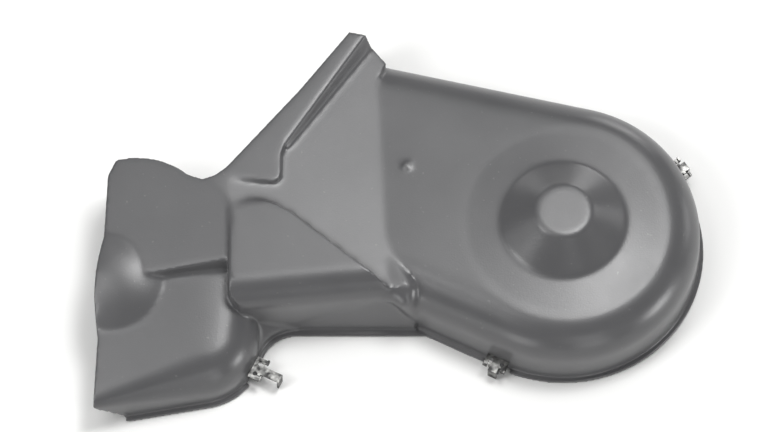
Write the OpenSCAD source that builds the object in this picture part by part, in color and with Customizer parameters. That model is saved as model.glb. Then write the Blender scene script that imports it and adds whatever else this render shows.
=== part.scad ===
// Timing-belt cover: a one-piece moulded shell with three push-on spring clips at its rim.
// Plan sizes are measured from the axis of the round end, with +X to the right and +Y to the horn.

/* [Shell] */
// Wall thickness of the moulding
wall = 2.5; // [1.5:0.1:3.5]
// Reach of the rim lip outside the wall
lip_w = 2.6; // [1.5:0.1:4]
// Thickness of the rim lip
lip_t = 2.5; // [1:0.1:4]

/* [Round end] */
// Radius of the round end's wall
round_r = 75.2; // [70:0.5:82]
// Height of the round end's top plane
top_z = 43; // [40:0.5:46]
// Radius of the rounded top edge of the main body
edge_r = 20; // [12:0.5:22]
// Angle at which the pad round the hub rises towards it
pad_angle = 5; // [2:0.5:8]
// Radius of the hub cone at its foot
hub_foot_r = 34.4; // [28:0.1:42]
// Radius of the hub's top disc
hub_top_r = 17.5; // [10:0.1:22]
// Height of the hub's top disc
hub_z = 58; // [52:0.5:66]
// Edge radius of the hub's top disc
hub_edge_r = 3; // [0.5:0.1:5]

/* [Belt body] */
// Radius of the belt body's two far corners
corner_r = 20; // [16:0.5:26]
// Centre of the north corner, along X
north_x = -101; // [-106:0.5:-96]
// Centre of the north corner, along Y
north_y = 81; // [76:0.5:86]
// Centre of the south corner, along X
south_x = -113; // [-118:0.5:-108]
// Centre of the south corner, along Y
south_y = -6.7; // [-11:0.1:-4]
// Height of the belt body at its two far corners
valley_z = 39.5; // [36:0.5:42]
// Diameter of the moulding-gate pip
pip_d = 4.4; // [3:0.1:6]
// Place of the pip, along X
pip_x = -85; // [-90:0.5:-75]
// Place of the pip, along Y
pip_y = 34; // [25:0.5:40]

/* [Ramp and horn] */
// Place of the crease between the belt body and the ramp
crease_x = -97; // [-100:0.5:-92]
// Angle at which the ramp rises away from the crease
ramp_angle = 5.5; // [4:0.5:8]
// Direction in which the ramp falls, from +X
ramp_turn = 9; // [4:0.5:14]
// West edge of the ramp
ramp_west_x = -153.5; // [-157:0.5:-150]
// North edge of the strip that carries the ramp on to the west
strip_y = 21.2; // [17:0.1:25]
// Corner radius where the ramp's west edge turns into the strip
strip_corner_r = 5; // [2:0.5:8]
// Low end of the horn's crest, along X
crest_low_x = -151.5; // [-153:0.5:-147]
// Low end of the horn's crest, along Y
crest_low_y = 43.4; // [40:0.1:47]
// Start of the horn's outer wall at the housing, along X
horn_wall_x = -183.2; // [-187:0.1:-180]
// Start of the horn's outer wall at the housing, along Y
horn_wall_y = 30.2; // [27:0.1:34]
// Low point of the rim between the horn and the housing, along X
saddle_x = -196.4; // [-199:0.1:-193]
// Low point of the rim between the horn and the housing, along Y
saddle_y = 23; // [20:0.1:26]
// Bend in the horn's outer wall, along X
bend_x = -143.5; // [-148:0.5:-138]
// Bend in the horn's outer wall, along Y
bend_y = 76.3; // [72:0.1:80]
// Width of the horn's tip beyond its crest
tip_w = 9; // [7:0.5:12]
// Reach of the horn's tip beyond its crest
tip_reach = 1.9; // [0.5:0.1:4]
// High end of the horn's crest, along X
crest_high_x = -107.5; // [-111:0.5:-105]
// High end of the horn's crest, along Y
crest_high_y = 109.2; // [106:0.1:112]
// Steepness of the horn's inner face
horn_face = 60; // [50:1:75]

/* [Block] */
// West face of the block
block_west_x = -181.5; // [-185:0.5:-178]
// Radius of the block's rounded south edge
block_edge_r = 15; // [10:0.5:18]
// Angle of the block's south edge to the rim
block_turn = 5.5; // [3:0.5:9]
// South face of the block, where it passes under the middle of the block
block_south_y = -45; // [-48:0.1:-43]
// Foot of the straight south wall
wall_south_y = -47.8; // [-52:0.1:-46]
// Lean of the straight south wall
wall_lean = 10.5; // [6:0.5:13]
// Steepness of the slanted east end of that wall
wall_end_face = 66; // [55:1:75]
// Middle of the block's length, where its south face is measured
block_mid_x = -129; // [-133:0.5:-125]
// East end of the block's straight edge beside the ramp, along X
line_east_x = -94.6; // [-98:0.1:-92]
// East end of that edge, along Y
line_east_y = -39.4; // [-43:0.1:-36]
// West end of that edge, along X
line_west_x = -147; // [-151:0.1:-143]
// West end of that edge, along Y
line_west_y = 2.9; // [0:0.1:7]
// How far the block's rounded north end stands out past its corners
crown_rise = 6.5; // [3:0.1:10]
// Radius of the block's upright corner at its west end
block_corner_r = 11; // [6:0.5:16]
// Radius of the rounded nose at the block's east end
nose_r = 8; // [6:0.5:9]
// Centre of that nose, along X
nose_x = -86; // [-88:0.5:-84]
// Centre of that nose, along Y
nose_y = -38.5; // [-40:0.5:-37]
// Height of the nose's centre
nose_z = 31.5; // [29:0.5:33]
// Radius of the nose's foot, where it dies out between the two walls
nose_foot_r = 6; // [4:0.5:7]
// Centre of that foot, along X
nose_foot_x = -79; // [-81:0.5:-77]
// Centre of that foot, along Y
nose_foot_y = -40; // [-42:0.5:-38]
// Height of the foot's centre
nose_foot_z = 12; // [8:0.5:16]

/* [Left housing] */
// Middle of the housing's open end
end_x = -251.2; // [-260:0.1:-246]
// Place along Y where the middle of the open end is measured
end_y = -35; // [-38:0.5:-32]
// Angle of the open end to the Y axis
end_turn = 3; // [0:0.5:6]
// Where the bevelled north corner of the open end starts
bevel_y = 27.3; // [22:0.1:33]
// Angle of that bevel to the Y axis
bevel_turn = 27; // [15:1:40]
// Direction in which the two floors fall, from +X
fall_turn = 225; // [210:1:240]
// Angle at which the upper floor falls
upper_fall = 9; // [6:0.5:11]
// Angle at which the lower floor falls
lower_fall = 7; // [4:0.5:9]
// Where the upper floor starts to fall on the block's west face
fall_start_y = 12; // [9:0.5:16]
// Height of the step between the two floors
step_drop = 8; // [5:0.5:10]
// Radius of the upper floor's rounded north side
upper_r = 46; // [42:0.5:50]
// Centre of that rounded side, along X
upper_x = -234; // [-238:0.5:-230]
// Centre of that rounded side, along Y
upper_y = -9.1; // [-12:0.1:-6]
// Middle of the step between the two floors, along X
step_x = -200; // [-205:0.5:-195]
// Middle of the step between the two floors, along Y
step_y = -25.4; // [-29:0.1:-22]
// Angle of the step to the rim
step_turn = 5.5; // [2:0.5:9]
// Steepness of the step between the two floors
step_face = 70; // [55:1:80]
// Radius of the lower floor's shoulder
shoulder_r = 33.5; // [30:0.5:40]
// Edge radius at the shoulder
shoulder_edge_r = 20; // [10:0.5:22]
// Edge radius at the open end
end_edge_r = 4.5; // [4:0.5:14]
// Centre of the shoulder, along X
shoulder_x = -199; // [-202:0.5:-192]
// Centre of the shoulder, along Y
shoulder_y = -57; // [-60:0.5:-54]
// Angle of the housing's south side to the rim
south_side_turn = 10.3; // [6:0.1:14]
// Length of the slanted cut at the foot of the open end
slant_run = 15.4; // [10:0.1:20]
// Height of the slanted cut
slant_rise = 17; // [12:0.5:24]
// Radius of the hollow corner between the shoulder and the south wall
hollow_r = 22; // [16:0.5:26]
// Radius of the half cone at the open end
dome_r = 44; // [40:0.5:45]
// Height of the half cone's crown
dome_z = 40.5; // [38:0.1:42]
// Radius of curvature of the half cone
dome_ball_r = 73; // [60:0.5:90]
// Centre of the half cone, along X
dome_x = -243.5; // [-247:0.5:-241]
// Centre of the half cone, along Y
dome_y = -21.4; // [-25:0.1:-18]
// How far the open end bulges out along the half cone
dome_bulge = 3.2; // [0:0.1:5]
// Half length of that bulge
bulge_half = 28; // [24:0.5:31]

/* [Clips] */
// Width of a clip
clip_w = 13; // [10:0.5:16]
// Reach of the two short clips from the wall
clip_reach = 9; // [8:0.5:12]
// Reach of the long clip from the wall
long_reach = 17; // [13:0.5:20]
// Sheet thickness of a clip
clip_t = 1; // [0.6:0.1:1.4]
// Width of a clip's tongue and of the lug under it
tongue_w = 5; // [4:0.1:6]
// Width of the slots beside the tongue
slot_w = 1.5; // [1:0.1:2]
// Diameter of the relief holes at the slots' ends
relief_d = 2.4; // [1.6:0.1:3]
// Height of the lugs that carry the clips
lug_z = 9; // [7:0.5:12]
// Reach of a lug from the wall
lug_reach = 6; // [4:0.5:7]
// Gap between a clip's edge and the wall
clip_gap = 0.2; // [0.1:0.05:0.5]
// Direction of the right clip from the round end's axis
right_angle = 34.6; // [25:0.1:45]
// Place of the lower clip along the straight south flank
lower_along = 2.4; // [0:0.1:20]
// Direction of the left clip from the shoulder's centre
left_angle = -26; // [-34:0.1:-22]
// Depth of a clip's folded foot
foot_drop = 7.5; // [4:0.1:8.5]

/* [Hidden] */

plastic = [0.16, 0.16, 0.17];
steel = [0.45, 0.45, 0.46];

// Room below the rim plane and beyond the open end that the cavity is cut through
below = 10;
beyond = 30;
// Side of the blocks that cut along a plane, and a line south of all walls
cutter = 400;
far_south = -90;
// How far neighbouring forms run into each other
lap = 6;
// Facets of the large and the small rounds
fine = 96;
coarse = 40;
// How far the pad's edge lies below the top plane, so that it dies out on it
pad_sink = 0.15;

// Points on a circle, from one angle to another
function arc(c, r, a0, a1, n) =
  [for (i = [0:n]) c + r * [cos(a0 + (a1 - a0) * i / n), sin(a0 + (a1 - a0) * i / n)]];

// The belt body's top falls from the round end's flat circle to the line between the two far corners
flat_r = round_r - edge_r;
north = [north_x, north_y];
south = [south_x, south_y];
valley_dir = (north - south) / norm(north - south);
valley_out = [-valley_dir[1], valley_dir[0]];
valley_fall = (top_z - valley_z) / (north * valley_out - flat_r);
function belt_z(p) = top_z - valley_fall * (p * valley_out - flat_r);

// The ramp rises from the crease to the plateau, which the ledge, the horn and the block share
crease = [crease_x, 0];
function ramp_z(p) = belt_z(crease) - (p - crease) * [cos(ramp_turn), sin(ramp_turn)] * tan(ramp_angle);
fall_start = [block_west_x, fall_start_y];
plateau_z = ramp_z(fall_start);

// The two floors of the left housing fall away from the plateau, with a step between them
fall_dir = [cos(fall_turn), sin(fall_turn)];
step = [step_x, step_y];
function upper_at(p) = plateau_z - (p - fall_start) * fall_dir * tan(upper_fall);
function lower_at(p) = upper_at(step) - step_drop - (p - step) * fall_dir * tan(lower_fall);

// Plan outlines, counter-clockwise
crest_low = [crest_low_x, crest_low_y];
crest_high = [crest_high_x, crest_high_y];
crest_turn = atan2(crest_high_y - crest_low_y, crest_high_x - crest_low_x);
line_east = [line_east_x, line_east_y];
line_west = [line_west_x, line_west_y];
line_dir = (line_east - line_west) / norm(line_east - line_west);
line_in = [line_dir[1], -line_dir[0]];
horn_wall = [horn_wall_x, horn_wall_y];
saddle = [saddle_x, saddle_y];
saddle_east = (saddle + horn_wall) / 2 - [0, (horn_wall_y - saddle_y) / 5];
north_end = north + [corner_r / 4, corner_r * 3 / 4];
horn_tip = [crest_high, crest_high + [-tip_w, tip_reach]];
strip_west = [block_west_x, strip_y + strip_corner_r / 2];
ledge_outline = concat(
  [strip_west - [lap, 0], strip_west],
  arc([ramp_west_x - strip_corner_r, strip_y + strip_corner_r], strip_corner_r, -90, 0, 6),
  [[ramp_west_x, crest_low_y - lap], crest_low],
  horn_tip,
  [[bend_x, bend_y], horn_wall, saddle_east]
);
crest_outline = concat([crest_low, crest_low + [lap, -lap], north_end], horn_tip, [crest_low + [-lap, lap]]);
ramp_outline = [
  [block_west_x, line_west_y - lap], line_west + lap * line_in, line_east + lap / 3 * line_in - lap * line_dir,
  line_east, [nose_x, nose_y + nose_r / 2], [crease_x + 3 * lap, line_east_y + 3 * lap],
  [crease_x + 3 * lap, north_y - 4 * lap], north + [0, corner_r / 5], north_end, crest_high,
  crest_low - [lap, 0], [ramp_west_x - lap, strip_y + lap], strip_west - [lap, 0],
  fall_start + [-lap, lap], fall_start
];
core_outline = [
  [block_west_x + wall, wall_south_y + lap], [crease_x - lap, wall_south_y + 2 * lap], [crease_x - lap, north_y],
  crest_high - [lap, 2 * lap], [bend_x + lap, bend_y - lap], [block_west_x + wall, strip_y]
];
crown_end = [block_west_x, line_west_y + wall];
function block_south(x) = block_south_y + (x - block_mid_x) * tan(block_turn);
block_corner = [block_west_x + block_corner_r, block_south(block_west_x) + block_corner_r];
block_east_x = nose_x - nose_r / 2;
block_outline = concat(
  arc(block_corner, block_corner_r, 180, 270, 6),
  [[block_east_x, far_south], [block_east_x, nose_y], line_east],
  [for (i = [0:8]) line_west + (crown_end - line_west) * i / 8 + [0, crown_rise * sin(22.5 * i)]]
);
wall_east_x = nose_foot_x + lap;
wall_north = [[south_x + corner_r + lap, south_y], [shoulder_x + shoulder_r - lap, south_y]];
wall_outline = concat([[shoulder_x + shoulder_r - lap, far_south], [wall_east_x, far_south]], wall_north);
upper_outline = concat(
  [[end_x - beyond, step_y - 4 * lap], [block_west_x + 2 * lap, step_y - 4 * lap],
   [block_west_x + 2 * lap, -2 * lap], [block_west_x, 0], strip_west, horn_wall, saddle_east, saddle],
  arc([upper_x, upper_y], upper_r, 50, 70, 2),
  [[end_x - beyond, upper_y]]
);
// Hollow corner between the shoulder and the south wall
hollow_y = wall_south_y - hollow_r;
hollow_x = shoulder_x + sqrt((shoulder_r + hollow_r) ^ 2 - (hollow_y - shoulder_y) ^ 2);
hollow_turn = atan2(shoulder_y - hollow_y, shoulder_x - hollow_x);
hollow_mid = (90 + hollow_turn) / 2;
hollow_outline = concat(
  arc([hollow_x, hollow_y], hollow_r, 90, hollow_turn, 10),
  [[shoulder_x + 2 * lap, shoulder_y], [shoulder_x + shoulder_r, wall_south_y + 2 * lap],
   [hollow_x, wall_south_y + 2 * lap]]
);

// The open end, which bulges at the half cone and is bevelled at its north corner
function end_line(y) = end_x + (y - end_y) * tan(end_turn);
end_points = [
  for (i = [0:8]) let (y = end_y + bulge_half * (i / 4 - 1)) [end_line(y) - dome_bulge * sin(22.5 * i), y]
];
bevel = [end_line(bevel_y), bevel_y];
kept_outline = concat(
  [[cutter, -cutter], [cutter, cutter], bevel + cutter * [sin(bevel_turn), cos(bevel_turn)], bevel],
  [for (i = [8:-1:0]) end_points[i]],
  [[end_line(-cutter), -cutter]]
);

// The straight south flank, tangent to the round end and the south corner
flank_turn = atan2(south_y, south_x) + acos((round_r - corner_r) / norm(south));
// South side of the housing at a place along X, and the middle of the part's box, which becomes the origin
function south_side(x) = shoulder_y + (x - shoulder_x) * tan(south_side_turn);
south_edge = south_side(end_x + slant_run) - (shoulder_r + lip_w) / cos(south_side_turn);
frame_x = (end_line(south_edge) + round_r + lip_w) / 2;
frame_y = (south_edge + crest_high_y + tip_reach + lip_w) / 2;

// A block that ends at a plane through p, falling by tilt towards heading, and set in by s
module under_plane(p, heading, tilt, s)
  translate(p) rotate([0, 0, heading]) rotate([0, tilt, 0])
    translate([-cutter / 2, -cutter / 2, -cutter - s]) cube(cutter);

// An upright block on a plan outline, set in by s all round
module upright(points, top, s)
  translate([0, 0, -below - s]) linear_extrude(top + below)
    if (s == 0) polygon(points);
    else offset(delta = -s) polygon(points);

// A round block with a rounded top edge
module soft_disc(r, z, edge, steps)
  rotate_extrude()
    polygon(concat([[0, -below], [r, -below]], arc([r - edge, z - edge], edge, 0, 90, steps), [[0, z]]));

// A long block that ends at an upright face through p, with a rounded top edge, and set in by s
module soft_beam(p, heading, z, edge, s)
  translate(p) rotate([0, 0, heading + 180]) rotate([90, 0, 0]) linear_extrude(cutter, center = true)
    polygon(concat(
      [[s, -below - s]],
      arc([edge, z - edge], edge - s, 180, 90, 12),
      [[cutter, z - s], [cutter, -below - s]]
    ));

// The round end and the belt body, whose top dips towards the ramp
module belt_body(s)
  hull() {
    soft_disc(round_r - s, top_z - s, edge_r - s, s == 0 ? 12 : 4, $fn = s == 0 ? fine : coarse);
    for (c = [north, south])
      translate(c) soft_disc(corner_r - s, valley_z - s, min(edge_r, corner_r) - s, s == 0 ? 12 : 4, $fn = coarse);
  }

// The crowned pad and the hub that stands on it
module hub(s)
  rotate_extrude($fn = fine)
    polygon(concat(
      [[0, -below - s], [flat_r - s, -below - s], [flat_r - s, top_z - pad_sink - s],
       [hub_foot_r - s, top_z - pad_sink + (flat_r - hub_foot_r) * tan(pad_angle) - s]],
      arc([hub_top_r - hub_edge_r, hub_z - hub_edge_r - s], hub_edge_r, 30, 90, 4),
      [[0, hub_z - s]]
    ));

// The ramp that rises from the crease, and the strip at its west end
module ramp(s)
  intersection() {
    upright(ramp_outline, plateau_z, s);
    under_plane([crease_x, 0, belt_z(crease)], ramp_turn, ramp_angle, s);
  }

// The flat ledge and the horn's top
module ledge(s) upright(ledge_outline, plateau_z, s);

// The horn's crest, with the steep face on its inner side
module crest(s)
  intersection() {
    upright(crest_outline, plateau_z, s);
    under_plane([crest_low_x, crest_low_y, plateau_z], crest_turn - 90, horn_face, s);
  }

// The low core, which joins the rooms under the ramp, the horn and the block
module core(s) upright(core_outline, valley_z - wall, s);

// The block, with a rounded south edge turned a little from the rim
module block(s)
  intersection() {
    upright(block_outline, hub_z, s);
    soft_beam([block_mid_x, block_south_y, 0], block_turn - 90, plateau_z, block_edge_r, s);
  }

// The rounded nose at the block's east end, which runs down between the south wall and the belt body
module nose()
  hull() {
    translate([nose_x, nose_y, nose_z]) sphere(nose_r, $fn = coarse);
    translate([nose_foot_x, nose_foot_y, nose_foot_z]) sphere(nose_foot_r, $fn = coarse);
  }

// The straight south wall below the block
module south_wall(s)
  intersection() {
    upright(wall_outline, plateau_z - block_edge_r, s);
    under_plane([0, wall_south_y, 0], -90, 90 - wall_lean, s);
    under_plane([nose_foot_x, 0, nose_foot_z / 2], 0, wall_end_face, s);
  }

// The hollow corner, closed above by a slope that dies out on both walls
module hollow_corner(s)
  intersection() {
    upright(hollow_outline, lower_at([shoulder_x, shoulder_y]), s);
    under_plane([hollow_x + hollow_r * cos(hollow_mid), hollow_y + hollow_r * sin(hollow_mid), lug_z],
      hollow_mid + 180, 50, s);
  }

// The housing's upper floor, which falls away from the plateau and ends at the step
module upper_floor(s)
  intersection() {
    union() {
      translate([upper_x, upper_y, -below - s]) cylinder(r = upper_r - s, h = plateau_z + below, $fn = fine);
      upright(upper_outline, plateau_z, s);
    }
    under_plane([block_west_x, fall_start_y, plateau_z], fall_turn, upper_fall, s);
    under_plane([step_x, step_y, upper_at(step)], step_turn - 90, step_face, s);
  }

// The housing's lower floor, with a soft shoulder that sharpens towards the open end
module lower_disc(p, r, edge, s)
  translate(p) soft_disc(r - s, lower_at(p) - s, edge - s, s == 0 ? 10 : 4, $fn = s == 0 ? fine : coarse);

module lower_floor(s)
  hull() {
    lower_disc([shoulder_x, shoulder_y], shoulder_r, shoulder_edge_r, s);
    lower_disc([end_x - lap, south_side(end_x - lap)], shoulder_r, end_edge_r, s);
    for (x = [end_x - lap, shoulder_x + lap]) lower_disc([x, 0], upper_r / 2, end_edge_r, s);
  }

// The half cone at the open end, crowned like a shallow cap
module dome(s)
  translate([dome_x, dome_y, 0]) rotate_extrude($fn = fine)
    polygon(concat(
      [[0, -below - s], [dome_r - s, -below - s]],
      arc([0, dome_z - dome_ball_r], dome_ball_r - s, 90 - asin((dome_r - s) / (dome_ball_r - s)), 90, 12)
    ));

// The forms east of the open end
module bodies(s) {
  belt_body(s);
  hub(s);
  ramp(s);
  ledge(s);
  crest(s);
  core(s);
  block(s);
  south_wall(s);
  hollow_corner(s);
}

// The forms that the open end cuts
module housing(s) {
  upper_floor(s);
  lower_floor(s);
  dome(s);
}

// Room inside the open end
module inside_end() translate([0, 0, -cutter / 2]) linear_extrude(cutter) polygon(kept_outline);

// Plan of all walls at the rim
module footprint() {
  hull() {
    circle(round_r, $fn = fine);
    for (c = [north, south]) translate(c) circle(corner_r, $fn = coarse);
  }
  hull() {
    for (x = [shoulder_x, end_x - beyond]) translate([x, south_side(x)]) circle(shoulder_r, $fn = fine);
    translate([upper_x, upper_y]) circle(upper_r / 2, $fn = coarse);
  }
  translate([upper_x, upper_y]) circle(upper_r, $fn = fine);
  polygon(upper_outline);
  polygon(ledge_outline);
  polygon(ramp_outline);
  polygon(hollow_outline);
  polygon(concat([[hollow_x - lap, wall_south_y], [wall_east_x, wall_south_y]], wall_north));
}

// Stands its child where a clip meets the wall, with X pointing outward
module at_clip(i)
  if (i == 0) rotate([0, 0, right_angle]) translate([round_r, 0, 0]) children();
  else if (i == 1) rotate([0, 0, flank_turn]) translate([round_r, -lower_along, 0]) children();
  else translate([shoulder_x, shoulder_y, 0]) rotate([0, 0, left_angle]) translate([shoulder_r, 0, 0]) children();

// The rim lip, open at the housing's end and round each clip
module rim_lip()
  difference() {
    intersection() {
      translate([0, 0, -below]) linear_extrude(lip_t + below) offset(r = lip_w) footprint();
      inside_end();
    }
    for (i = [0:2])
      at_clip(i) translate([0, -clip_w / 2 - 1, -below - 1]) cube([lip_w * 3, clip_w + 2, lip_t + below + 2]);
  }

module lug()
  translate([-wall / 2, -tongue_w / 2, 0]) cube([lug_reach + wall / 2, tongue_w, lug_z]);

module pip()
  translate([pip_x, pip_y, belt_z([pip_x, pip_y]) - wall / 2])
    cylinder(d = pip_d, h = wall / 2 + pip_d / 4, $fn = coarse);

module moulded_cover()
  color(plastic) translate([-frame_x, -frame_y, 0])
    difference() {
      union() {
        bodies(0);
        intersection() {
          housing(0);
          inside_end();
        }
        rim_lip();
        nose();
        pip();
        for (i = [0:2]) at_clip(i) lug();
      }
      bodies(wall);
      housing(wall);
      // Floor plane, and the slanted cut at the foot of the open end
      translate([-cutter, -cutter / 2, -cutter]) cube([cutter * 2, cutter, cutter]);
      translate([0, shoulder_y - shoulder_r / 2, 0]) rotate([90, 0, 0]) linear_extrude(cutter / 2)
        polygon([
          [end_x + slant_run, 0], [end_x + slant_run, -1], [end_x - slant_run, -1],
          [end_x - slant_run, slant_rise * 2]
        ]);
    }

// A spring clip: a slotted plate on its lug, with grip tabs and a folded foot
module clip(reach) {
  bend = clip_reach / 3;
  finger = clip_reach - bend / 2;
  slot_mid = (tongue_w + slot_w) / 2;
  difference() {
    translate([0, 0, lug_z]) linear_extrude(clip_t)
      polygon([
        [clip_gap, -clip_w / 2], [finger, -clip_w / 2], [finger, -tongue_w / 2 - slot_w],
        [bend, -tongue_w / 2 - slot_w], [bend, -tongue_w / 2], [reach, -tongue_w / 2],
        [reach, tongue_w / 2], [bend, tongue_w / 2], [bend, tongue_w / 2 + slot_w],
        [finger, tongue_w / 2 + slot_w], [finger, clip_w / 2], [clip_gap, clip_w / 2]
      ]);
    for (v = [-slot_mid, slot_mid])
      translate([bend, v, lug_z - 1]) cylinder(d = relief_d, h = clip_t + 2, $fn = 24);
  }
  translate([reach - clip_t, -tongue_w / 2, lug_z - foot_drop]) cube([clip_t, tongue_w, foot_drop + clip_t]);
  for (v = [-tongue_w / 2 - clip_t, tongue_w / 2])
    translate([lug_reach - bend / 2, v, lug_z - bend]) cube([bend / 2, clip_t, bend + clip_t]);
  for (v = [-clip_w / 2, tongue_w / 2 + slot_w])
    translate([finger - clip_t, v, lug_z]) cube([clip_t, (clip_w - tongue_w) / 2 - slot_w, clip_t * 2.5]);
}

module rim_clip(i, reach) color(steel) translate([-frame_x, -frame_y, 0]) at_clip(i) clip(reach);

moulded_cover();
rim_clip(0, clip_reach);  // rim_clip_right
rim_clip(1, clip_reach);  // rim_clip_lower
rim_clip(2, long_reach);  // rim_clip_left
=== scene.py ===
"""Timing-belt cover: soft moulded edges, grained plastic, steel clips, studio light and the photograph's view."""

import math

import bmesh
import bpy
import numpy as np
from mathutils import Matrix, Vector


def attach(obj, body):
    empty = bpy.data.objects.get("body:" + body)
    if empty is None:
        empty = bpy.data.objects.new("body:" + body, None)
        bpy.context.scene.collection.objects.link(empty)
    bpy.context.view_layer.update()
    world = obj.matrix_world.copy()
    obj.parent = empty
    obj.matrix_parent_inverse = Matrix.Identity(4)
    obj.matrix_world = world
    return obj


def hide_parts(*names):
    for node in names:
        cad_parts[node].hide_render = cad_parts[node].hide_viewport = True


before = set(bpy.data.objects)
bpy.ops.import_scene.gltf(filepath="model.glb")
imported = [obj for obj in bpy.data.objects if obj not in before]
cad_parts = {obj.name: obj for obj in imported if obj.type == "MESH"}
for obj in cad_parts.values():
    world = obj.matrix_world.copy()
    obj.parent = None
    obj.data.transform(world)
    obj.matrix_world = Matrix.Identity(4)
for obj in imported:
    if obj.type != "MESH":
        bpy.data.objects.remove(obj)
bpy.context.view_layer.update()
scene = bpy.context.scene

# The new skin of the moulding: voxel size in metres and triangles kept
VOXEL = 0.0007
KEPT_TRIANGLES = 190000
# Passes of smoothing that round the edges, and passes that even out the faces between them
EDGE_PASSES = 2
FACE_PASSES = 24
# Strength of a pass at the rim and on the tops, and the heights between which it grows, so that the rim stays crisp
RIM_WEIGHT = 0.1
TOP_WEIGHT = 0.5
CRISP_Z = 0.004
SOFT_Z = 0.012
# Cosine between neighbouring normals from which a point counts as part of a face, and the range over which it grows
FACE_FROM = 0.965
FACE_RANGE = 0.03

# The corner of the belt body beside the nose: a soft pad round these balls, level with the belt body's top
CORNER_BALLS = (
    (-0.0081, -0.0267, 0.0326),
    (-0.0081, -0.0415, 0.0327),
    (0.0024, -0.0427, 0.0334),
    (-0.0056, -0.0307, 0.0328),
)
CORNER_R = 0.008
BALL_SUBDIVISIONS = 4
# The nose, where several forms run into each other: place, reach and passes of smoothing
NOSE = np.array((-0.003, -0.0455, 0.037))
NOSE_REACH = 0.010
NOSE_PASSES = 10

# The clips' nodes and the bevel of their edges
CLIPS = ("rim_clip_right", "rim_clip_lower", "rim_clip_left")
CLIP_EDGE = 0.0002

# The white floor: half its side and its colour
FLOOR_HALF = 6
FLOOR_WHITE = (0.92, 0.92, 0.91, 1)

# Soft light from square panels on a dome round the object: elevation and azimuth in degrees, power in watts
LIGHT_DISTANCE = 1.5
LIGHT_SIZE = 0.45
LIGHTS = (
    (72, 45, 11.0),
    (72, 90, 2.2),
    (72, 180, 3.3),
    (52, 67, 2.5),
    (52, 112, 1.0),
    (52, 202, 6.2),
    (30, 180, 1.0),
    (30, 290, 1.5),
    (10, 22, 2.0),
    (10, 67, 3.0),
    (10, 112, 1.0),
    (10, 202, 4.0),
    (10, 247, 3.3),
    (10, 292, 1.8),
    (10, 337, 7.3),
)
ROOM_LIGHT = 0.02

# The photograph's view: a far camera above the near side
VIEW_DISTANCE = 4.0
VIEW_ELEVATION = math.radians(66.6)
VIEW_TARGET = Vector((-0.00899, 0.01494, 0.0))
METRES_PER_PIXEL = 0.00055
IMAGE_WIDTH = 768
SENSOR_WIDTH = 36.0


def grey(value):
    """A neutral colour."""
    return (value, value, value)


def new_material(name):
    """A material with a Principled shader. Returns it with its nodes, links and shader."""
    material = bpy.data.materials.new(name)
    material.use_nodes = True
    tree = material.node_tree
    return material, tree.nodes, tree.links, tree.nodes["Principled BSDF"]


def noise(nodes, links, coords, scale, detail):
    """A noise texture on object coordinates."""
    node = nodes.new("ShaderNodeTexNoise")
    node.inputs["Scale"].default_value = scale
    node.inputs["Detail"].default_value = detail
    links.new(coords, node.inputs["Vector"])
    return node.outputs["Fac"]


def ramp(nodes, links, value, low, high):
    """A colour ramp on a value, between two (place, colour) stops."""
    node = nodes.new("ShaderNodeValToRGB")
    for element, (place, colour) in zip(node.color_ramp.elements, (low, high)):
        element.position = place
        element.color = (*colour, 1)
    links.new(value, node.inputs["Fac"])
    return node.outputs["Color"]


def bump(nodes, links, height, strength, distance, shader):
    """Roughen a shader's surface by a height."""
    node = nodes.new("ShaderNodeBump")
    node.inputs["Strength"].default_value = strength
    node.inputs["Distance"].default_value = distance
    links.new(height, node.inputs["Height"])
    links.new(node.outputs["Normal"], shader.inputs["Normal"])


def moulded_plastic():
    """Dark-grey moulded plastic: fine grain, cloudy sheen and a few pale specks of dust."""
    material, nodes, links, shader = new_material("moulded_plastic")
    coords = nodes.new("ShaderNodeTexCoord").outputs["Object"]
    cloud = noise(nodes, links, coords, scale=28, detail=4)
    base = ramp(nodes, links, cloud, (0.3, (0.082, 0.082, 0.085)), (0.7, (0.094, 0.094, 0.097)))
    dust = noise(nodes, links, coords, scale=420, detail=2)
    speck = ramp(nodes, links, dust, (0.70, grey(0)), (0.78, grey(1)))
    dusty = nodes.new("ShaderNodeMix")
    dusty.data_type = "RGBA"
    links.new(speck, dusty.inputs["Factor"])
    links.new(base, dusty.inputs["A"])
    dusty.inputs["B"].default_value = (*grey(0.13), 1)
    links.new(dusty.outputs["Result"], shader.inputs["Base Color"])
    sheen = noise(nodes, links, coords, scale=60, detail=5)
    links.new(ramp(nodes, links, sheen, (0.3, grey(0.28)), (0.7, grey(0.33))), shader.inputs["Roughness"])
    grain = noise(nodes, links, coords, scale=1100, detail=2)
    bump(nodes, links, grain, strength=0.22, distance=0.0002, shader=shader)
    return material


def spring_steel():
    """Dark, oiled spring steel with bright worn patches."""
    material, nodes, links, shader = new_material("spring_steel")
    coords = nodes.new("ShaderNodeTexCoord").outputs["Object"]
    stain = noise(nodes, links, coords, scale=260, detail=4)
    colour = ramp(nodes, links, stain, (0.40, grey(0.03)), (0.72, (0.30, 0.30, 0.29)))
    links.new(colour, shader.inputs["Base Color"])
    links.new(ramp(nodes, links, stain, (0.3, grey(0.45)), (0.7, grey(0.28))), shader.inputs["Roughness"])
    shader.inputs["Metallic"].default_value = 0.9
    scratch = noise(nodes, links, coords, scale=900, detail=3)
    bump(nodes, links, scratch, strength=0.15, distance=0.0002, shader=shader)
    return material


def modified(piece):
    """The mesh that a piece's modifiers make. It takes the old mesh's place, and the modifiers go."""
    graph = bpy.context.evaluated_depsgraph_get()
    mesh = bpy.data.meshes.new_from_object(piece.evaluated_get(graph))
    piece.modifiers.clear()
    piece.data = mesh
    return mesh


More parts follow.
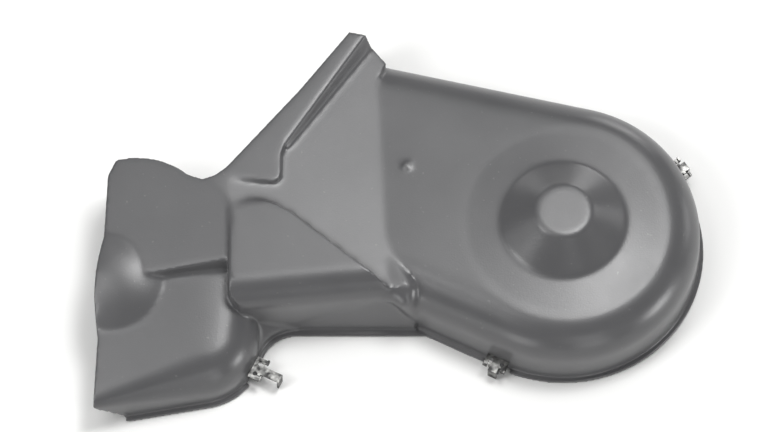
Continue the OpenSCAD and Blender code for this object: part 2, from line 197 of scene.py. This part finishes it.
def smooth_points(mesh):
    """Draw each point towards the middle of its neighbours: tops more than the rim, faces more than edges."""
    count = len(mesh.vertices)
    points = np.empty(count * 3)
    mesh.vertices.foreach_get("co", points)
    points = points.reshape(-1, 3)
    edges = np.empty(len(mesh.edges) * 2, dtype=np.int32)
    mesh.edges.foreach_get("vertices", edges)
    ends = np.concatenate((edges[0::2], edges[1::2]))
    others = np.concatenate((edges[1::2], edges[0::2]))
    valence = np.bincount(ends, minlength=count)

    def relax(weight, passes):
        for _ in range(passes):
            for axis in range(3):
                middle = np.bincount(ends, points[others, axis], count) / valence
                points[:, axis] += weight * (middle - points[:, axis])
        mesh.vertices.foreach_set("co", points.ravel())
        mesh.update()

    height = np.clip((points[:, 2] - CRISP_Z) / (SOFT_Z - CRISP_Z), 0, 1)
    weight = RIM_WEIGHT + (TOP_WEIGHT - RIM_WEIGHT) * height
    relax(weight, EDGE_PASSES)
    reach = np.linalg.norm(points - NOSE, axis=1) / NOSE_REACH
    relax(TOP_WEIGHT * np.clip(2 - 2 * reach, 0, 1), NOSE_PASSES)
    normals = np.empty(count * 3)
    mesh.vertices.foreach_get("normal", normals)
    normals = normals.reshape(-1, 3)
    likeness = np.bincount(ends, np.sum(normals[ends] * normals[others], axis=1), count) / valence
    relax(weight * np.clip((likeness - FACE_FROM) / FACE_RANGE, 0, 1), FACE_PASSES)


def add_corner(mesh):
    """Add the belt body's corner pad to a mesh, as a closed form that the new skin takes in."""
    pad = bmesh.new()
    for centre in CORNER_BALLS:
        place = Matrix.Translation(centre)
        bmesh.ops.create_icosphere(pad, subdivisions=BALL_SUBDIVISIONS, radius=CORNER_R, matrix=place)
    hull = bmesh.ops.convex_hull(pad, input=pad.verts)
    unused = hull["geom_interior"] + hull["geom_unused"]
    inside = {part for part in unused if isinstance(part, bmesh.types.BMVert)}
    bmesh.ops.delete(pad, geom=list(inside), context="VERTS")
    pad_mesh = bpy.data.meshes.new("corner_pad")
    pad.to_mesh(pad_mesh)
    pad.free()
    both = bmesh.new()
    both.from_mesh(mesh)
    both.from_mesh(pad_mesh)
    both.to_mesh(mesh)
    both.free()
    bpy.data.meshes.remove(pad_mesh)


def softened(node, name):
    """A copy of a CAD node with a new, even skin and smoothed edges, as a moulding has. It stands for the node."""
    piece = bpy.data.objects.new(name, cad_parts[node].data.copy())
    scene.collection.objects.link(piece)
    add_corner(piece.data)
    skin = piece.modifiers.new("skin", "REMESH")
    skin.mode = "VOXEL"
    skin.voxel_size = VOXEL
    mesh = modified(piece)
    smooth_points(mesh)
    triangles = sum(len(face.vertices) - 2 for face in mesh.polygons)
    thin = piece.modifiers.new("thin", "DECIMATE")
    thin.ratio = min(1, KEPT_TRIANGLES / triangles)
    mesh = modified(piece)
    mesh.materials.clear()
    mesh.polygons.foreach_set("use_smooth", np.ones(len(mesh.polygons), dtype=bool))
    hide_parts(node)
    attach(piece, "root")
    return piece


def panel(elevation, azimuth, power):
    """A square area light on the dome that faces the object."""
    name = "panel_%d_%d" % (elevation, azimuth)
    light = bpy.data.lights.new(name, "AREA")
    light.shape = "SQUARE"
    light.size = LIGHT_SIZE
    light.energy = power
    lamp = bpy.data.objects.new(name, light)
    up, round_z = math.radians(elevation), math.radians(azimuth)
    lamp.location = LIGHT_DISTANCE * Vector(
        (math.cos(up) * math.cos(round_z), math.cos(up) * math.sin(round_z), math.sin(up))
    )
    lamp.rotation_euler = (-lamp.location).to_track_quat("-Z", "Y").to_euler()
    lamp.visible_camera = False
    scene.collection.objects.link(lamp)


# The moulding, and the clips, which keep their CAD shapes
plastic = moulded_plastic()
steel = spring_steel()

cover = softened("moulded_cover", "cover_shell")
cover.data.materials.append(plastic)

for node in CLIPS:
    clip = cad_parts[node]
    clip.data.materials.clear()
    clip.data.materials.append(steel)
    edge = clip.modifiers.new("edge", "BEVEL")
    edge.width = CLIP_EDGE
    edge.segments = 2
    edge.limit_method = "ANGLE"

# Floor
corners = [(x * FLOOR_HALF, y * FLOOR_HALF, 0) for x, y in ((-1, -1), (1, -1), (1, 1), (-1, 1))]
floor_mesh = bpy.data.meshes.new("floor")
floor_mesh.from_pydata(corners, [], [(0, 1, 2, 3)])
floor = bpy.data.objects.new("floor", floor_mesh)
scene.collection.objects.link(floor)
floor_material, _, _, floor_shader = new_material("floor_white")
floor_shader.inputs["Base Color"].default_value = FLOOR_WHITE
floor_shader.inputs["Roughness"].default_value = 0.9
floor_shader.inputs["Specular IOR Level"].default_value = 0.1
floor_mesh.materials.append(floor_material)

# Light
world = bpy.data.worlds.new("room")
world.use_nodes = True
world.node_tree.nodes["Background"].inputs["Strength"].default_value = ROOM_LIGHT
scene.world = world
for elevation, azimuth, power in LIGHTS:
    panel(elevation, azimuth, power)

# Camera
camera_data = bpy.data.cameras.new("photo_view")
camera_data.sensor_width = SENSOR_WIDTH
camera_data.lens = SENSOR_WIDTH * VIEW_DISTANCE / (IMAGE_WIDTH * METRES_PER_PIXEL)
camera = bpy.data.objects.new("photo_view", camera_data)
view_from = Vector((0, -math.cos(VIEW_ELEVATION), math.sin(VIEW_ELEVATION)))
camera.location = VIEW_TARGET + VIEW_DISTANCE * view_from
camera.rotation_euler = (math.pi / 2 - VIEW_ELEVATION, 0, 0)
scene.collection.objects.link(camera)
scene.camera = camera
scene.view_settings.view_transform = "Standard"
